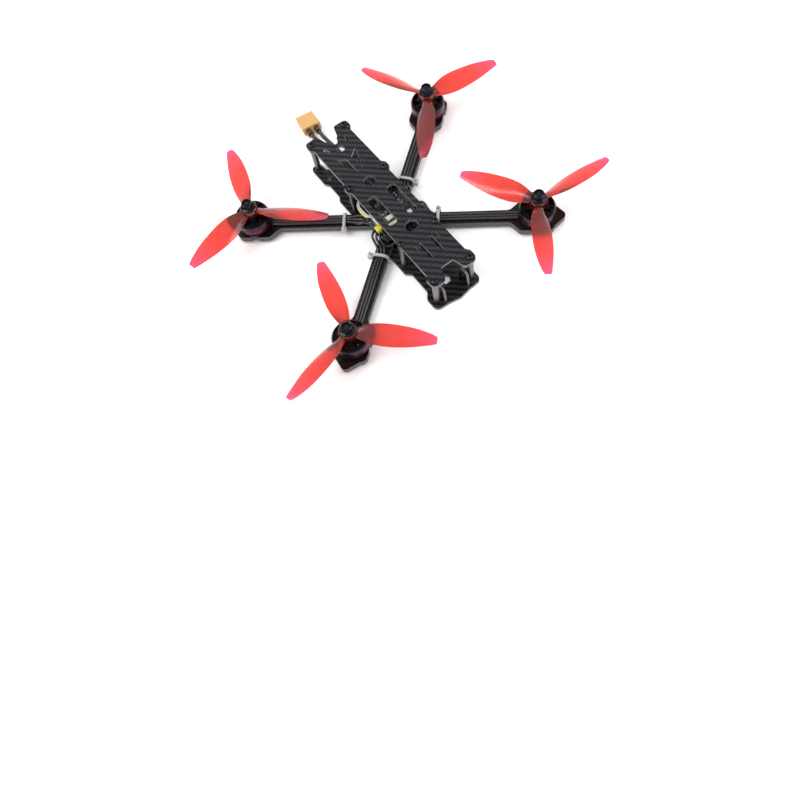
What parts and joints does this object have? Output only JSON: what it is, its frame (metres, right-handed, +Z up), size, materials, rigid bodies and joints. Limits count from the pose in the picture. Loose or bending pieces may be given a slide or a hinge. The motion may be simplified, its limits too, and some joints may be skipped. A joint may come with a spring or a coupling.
{
  "type": "fpv racing drone",
  "caption": "Racing quadcopter with a sandwiched carbon frame on slim arms, brushless motors, red propellers and a battery lead at the tail.",
  "frame": {"origin": "centre of the motor square, on the underside of the bottom plate", "axes": "+Z up along the motor shafts, -Y towards the nose, +X towards the left arms seen from the pilot's seat"},
  "size_m": [0.3039, 0.267, 0.0341],
  "materials": {
    "carbon": "satin woven carbon fibre",
    "propeller": "translucent gloss",
    "bell": "black anodised",
    "motor_base": "black anodised",
    "magnet": "nickel plated",
    "steel": "ground",
    "black_nut": "black oxide",
    "stator": "black coated steel",
    "copper": "enamelled copper",
    "black_steel": "black oxide",
    "post": "grey anodised",
    "grommet": "matte",
    "circuit_board": "black solder mask",
    "chip": "moulded epoxy",
    "receiver": "board and shield",
    "socket": "nylon",
    "usb": "plated",
    "tantalum": "moulded epoxy",
    "capacitor": "sleeved can",
    "lead": "silicone",
    "tie": "natural nylon",
    "red_wire": "silicone",
    "black_wire": "silicone",
    "plug": "yellow nylon",
    "gold": "gold plated",
    "collar": "heat-shrink"
  },
  "bodies": {
    "frame": {"arm_front_left": "carbon", "arm_front_right": "carbon", "arm_rear_left": "carbon", "arm_rear_right": "carbon", "battery_wire_black": "black_wire", "battery_wire_red": "red_wire", "belly_screws": "black_steel", "board_grommets": "grommet", "board_sockets": "socket", "bottom_plate": "carbon", "cable_ties": "tie", "camera_bracket_left": "carbon", "camera_bracket_right": "carbon", "clamp_nuts": "black_steel", "clamp_plate": "carbon", "flight_controller_board": "circuit_board", "flight_controller_chips": "chip", "motor_base_front_left": "motor_base", "motor_base_front_right": "motor_base", "motor_base_rear_left": "motor_base", "motor_base_rear_right": "motor_base", "motor_bearings": "steel", "motor_leads": "lead", "motor_screws": "black_steel", "motor_stators": "stator", "motor_windings": "copper", "plug_contacts": "gold", "plug_housing": "plug", "power_capacitor": "capacitor", "radio_receiver": "receiver", "solder_collars": "collar", "speed_controller_board": "circuit_board", "speed_controller_chips": "chip", "stack_lock_nuts": "black_steel", "stack_screws": "black_steel", "standoff_posts": "post", "tantalum_capacitors": "tantalum", "top_plate": "carbon", "top_screws": "black_steel", "usb_socket": "usb"},
    "rotor_front_left": {"motor_bell_front_left": "bell", "motor_magnets_front_left": "magnet", "motor_shaft_front_left": "steel", "propeller_front_left": "propeller", "prop_nut_front_left": "black_nut"},
    "rotor_front_right": {"motor_bell_front_right": "bell", "motor_magnets_front_right": "magnet", "motor_shaft_front_right": "steel", "propeller_front_right": "propeller", "prop_nut_front_right": "black_nut"},
    "rotor_rear_left": {"motor_bell_rear_left": "bell", "motor_magnets_rear_left": "magnet", "motor_shaft_rear_left": "steel", "propeller_rear_left": "propeller", "prop_nut_rear_left": "black_nut"},
    "rotor_rear_right": {"motor_bell_rear_right": "bell", "motor_magnets_rear_right": "magnet", "motor_shaft_rear_right": "steel", "propeller_rear_right": "propeller", "prop_nut_rear_right": "black_nut"}
  },
  "joints": [
    {"name": "rotor_front_left_spin", "type": "hinge", "parent": "frame", "child": "rotor_front_left", "pos_m": [0.0878, -0.07034, 0.0227], "axis": [0, 0, 1], "continuous": true},
    {"name": "rotor_front_right_spin", "type": "hinge", "parent": "frame", "child": "rotor_front_right", "pos_m": [-0.0878, -0.07034, 0.0227], "axis": [0, 0, 1], "continuous": true},
    {"name": "rotor_rear_left_spin", "type": "hinge", "parent": "frame", "child": "rotor_rear_left", "pos_m": [0.0878, 0.07034, 0.0227], "axis": [0, 0, 1], "continuous": true},
    {"name": "rotor_rear_right_spin", "type": "hinge", "parent": "frame", "child": "rotor_rear_right", "pos_m": [-0.0878, 0.07034, 0.0227], "axis": [0, 0, 1], "continuous": true}
  ]
}
